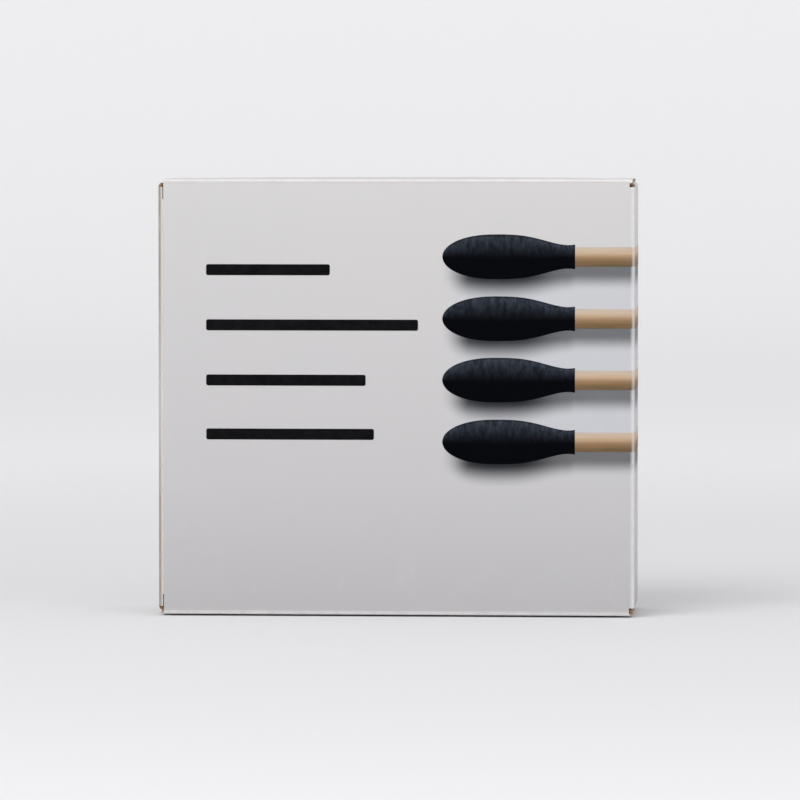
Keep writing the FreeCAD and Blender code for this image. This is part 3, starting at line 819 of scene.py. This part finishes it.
class Print:
    """Fields of ink on the sheet, laid a hair above it. Each is marked with its own way round the box and
    from its lower edge to its upper one."""

    def __init__(self):
        self.mesh = bmesh.new()
        self.swab = self.mesh.loops.layers.uv.new("swab")

    def field(self, stations, level, half_at, steps):
        """One field between stations round the box. half_at is its half height at a station."""
        columns = []
        for run in sorted(stations):
            column = []
            for across in even_parts(-1, 1, steps):
                spot, out = round_box(run, level + across * half_at(run))
                vertex = self.mesh.verts.new(spot + out * INK_LIFT)
                column.append((vertex, (run * UV_SCALE, (across + 1) / 2)))
            columns.append(column)
        for left, right in zip(columns, columns[1:]):
            for step in range(steps):
                corners = [left[step], right[step], right[step + 1], left[step + 1]]
                face = self.mesh.faces.new([corner[0] for corner in corners])
                for loop, (_, mark) in zip(face.loops, corners):
                    loop[self.swab].uv = mark

    def finish(self, name, material):
        """The fields as one piece that rides with the carton. Corners that fall together are one."""
        bmesh.ops.remove_doubles(self.mesh, verts=self.mesh.verts[:], dist=0.001 * MM)
        data = mesh_data(name, self.mesh)
        data.materials.append(material)
        data.shade_smooth()
        piece = add_object(name, data)
        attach(piece, "carton")


def print_tips(material):
    """The tips at both ends of the printed swabs, with finer steps at their blunt ends."""
    tips = Print()
    blunt_end = 0.12
    shares = [blunt_end * (1 - math.cos(turn)) for turn in even_parts(0, math.pi / 2, 12)]
    shares += even_parts(blunt_end, 1, 30)[1:]
    for level in PRINT_LEVELS:
        for outer, neck in PRINT_TIP_RUNS:
            def half_at(run):
                return PRINT_TIP_THICKNESS / 2 * tip_outline(clamp((run - outer) / (neck - outer), 0, 1))

            tips.field([outer + (neck - outer) * share for share in shares], level, half_at, 10)
    tips.finish("printed_tips", material)


def print_sticks(material):
    """The sticks of the printed swabs, from their necks on the front to those on the back."""
    sticks = Print()
    stations = spread(PRINT_TIP_RUNS[0][1], FRONT_RUN)
    stations += even_parts(FRONT_RUN, SIDE_FROM, FOLD_PARTS)[1:]
    stations += spread(SIDE_FROM, SIDE_FROM + SIDE_RUN)[1:]
    stations += even_parts(SIDE_FROM + SIDE_RUN, BACK_FROM, FOLD_PARTS)[1:]
    stations += spread(BACK_FROM, PRINT_BACK_NECK_RUN)[1:]
    for level in PRINT_LEVELS:
        sticks.field(stations, level, lambda run: PRINT_STICK_THICKNESS / 2, 6)
    sticks.finish("printed_sticks", material)


def print_bars(material):
    """Plain dark bars at the left of the front, with slightly rounded corners."""
    bars = Print()
    for level, width in zip(BAR_LEVELS, BAR_WIDTHS):
        def half_at(run):
            inset = min(run - BAR_START, BAR_START + width - run, BAR_CORNER)
            return BAR_THICKNESS / 2 - BAR_CORNER + math.sqrt(BAR_CORNER**2 - (BAR_CORNER - inset) ** 2)

        corner = [BAR_CORNER * (1 - math.cos(turn)) for turn in even_parts(0, math.pi / 2, 5)]
        stations = [BAR_START + part for part in corner] + [BAR_START + width - part for part in corner]
        stations += spread(BAR_START + BAR_CORNER, BAR_START + width - BAR_CORNER)[1:-1]
        bars.field(stations, level, half_at, 4)
    bars.finish("printed_bars", material)


def dress_swabs():
    """The swabs keep their solids and get their cotton and bamboo."""
    materials = {"tips": cotton(), "sticks": bamboo()}
    for name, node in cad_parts.items():
        for word, material in materials.items():
            if word in name:
                node.data.materials.clear()
                node.data.materials.append(material)


raw = raw_board()
flap_board = printed_flap()
make_carton(printed_board(), raw)
make_closure("lid_sheet", "lid_flap", flap_board, raw, turned=False)
make_closure("bottom_sheet", "bottom_flap", flap_board, raw, turned=True)
print_tips(printed_cotton())
print_sticks(printed_bamboo())
print_bars(printed_dark())
dress_swabs()


# Room, lamps and camera

# The box stands on the crown of its bottom flap, so its edges are this far above the floor
FLOOR_DROP = CLOSURE_SWELL + 0.02 * MM


def seen_glow(shader, colour, strength):
    """Brightness that only the camera and reflections see, so that it adds no light to the object."""
    path = shader.node("LightPath")
    seen = shader.math("MAXIMUM", path.outputs["Is Camera Ray"], path.outputs["Is Glossy Ray"])
    shader.surface.inputs["Emission Color"].default_value = colour
    shader.feed(shader.surface.inputs["Emission Strength"], shader.math("MULTIPLY", seen, strength))


def floor_paper():
    """Pale paper that the camera sees brighten in two steps as it gets further from the box."""
    glow_reaches = [0.12, 0.6, 2.4]
    glow_step = 0.13
    shader = Shader("floor_paper", roughness=0.9, specular=0.1)
    away = shader.node("VectorMath", {0: shader.place()}, operation="LENGTH").outputs["Value"]
    near_glow, far_glow = [shader.band(away, start, end, 0.0, glow_step)
                           for start, end in zip(glow_reaches, glow_reaches[1:])]
    seen_glow(shader, (0.99, 0.99, 1.0, 1), shader.math("ADD", near_glow, far_glow))
    return shader.finish(linear(234, 234, 235))


def make_room():
    """A seamless floor that sweeps up far behind the box."""
    half_width = 5.0
    front = -5.0
    sweep_from = 1.4
    sweep_radius = 1.2
    top = 4.0
    profile = [(front, 0.0), (0.0, 0.0), (sweep_from, 0.0)]
    profile += [(sweep_from + sweep_radius * math.sin(turn), sweep_radius * (1 - math.cos(turn)))
                for turn in even_parts(0, math.pi / 2, 24)[1:]]
    profile.append((sweep_from + sweep_radius, top))
    mesh = bmesh.new()
    rows = [[mesh.verts.new((side * half_width, y, z - FLOOR_DROP)) for side in (-1, 1)] for y, z in profile]
    for near, far in zip(rows, rows[1:]):
        mesh.faces.new([near[0], near[1], far[1], far[0]])
    data = mesh_data("floor", mesh)
    data.shade_smooth()
    data.materials.append(floor_paper())
    add_object("floor", data)


def aim(thing, place, target):
    """Puts a lamp or camera at a place, turned towards its target."""
    thing.location = place
    thing.rotation_euler = (Vector(target) - Vector(place)).to_track_quat("-Z", "Y").to_euler()


def add_lamp(name, place, side, power):
    """A soft square lamp, aimed at the middle of the box."""
    data = bpy.data.lights.new(name, "AREA")
    data.shape = "SQUARE"
    data.size = side
    data.energy = power
    aim(add_object(name, data), place, (0, 0, 0.04))


def light_scene():
    """An even pale world, which the camera sees a little brighter than it lights, and two soft lamps."""
    world = bpy.data.worlds.new("studio")
    world.use_nodes = True
    tree = world.node_tree
    background = tree.nodes["Background"]
    background.inputs["Color"].default_value = (0.98, 0.98, 0.99, 1)
    path = tree.nodes.new("ShaderNodeLightPath")
    strength = tree.nodes.new("ShaderNodeMapRange")
    strength.inputs["To Min"].default_value = 0.72
    strength.inputs["To Max"].default_value = 0.84
    tree.links.new(path.outputs["Is Camera Ray"], strength.inputs["Value"])
    tree.links.new(strength.outputs[0], background.inputs["Strength"])
    bpy.context.scene.world = world
    add_lamp("key", (-0.5, -0.9, 1.1), side=0.9, power=8.0)
    add_lamp("fill", (1.0, -0.9, 0.5), side=0.8, power=2.4)
    bpy.context.scene.view_settings.view_transform = "Standard"


def place_camera():
    """Nearly square to the wide front, from a little to its right and from just above its top."""
    target = Vector((0.0, 0.0, 0.0385))
    aside = 0.07
    distance = 1.1
    rise = 0.05
    frame_width = 0.146
    data = bpy.data.cameras.new("camera")
    data.sensor_width = 36
    data.lens = data.sensor_width * distance / frame_width
    data.clip_start = 0.01
    data.clip_end = 20
    camera = add_object("camera", data)
    aim(camera, target + Vector((aside, -distance, rise)), target)
    bpy.context.scene.camera = camera


make_room()
light_scene()
place_camera()
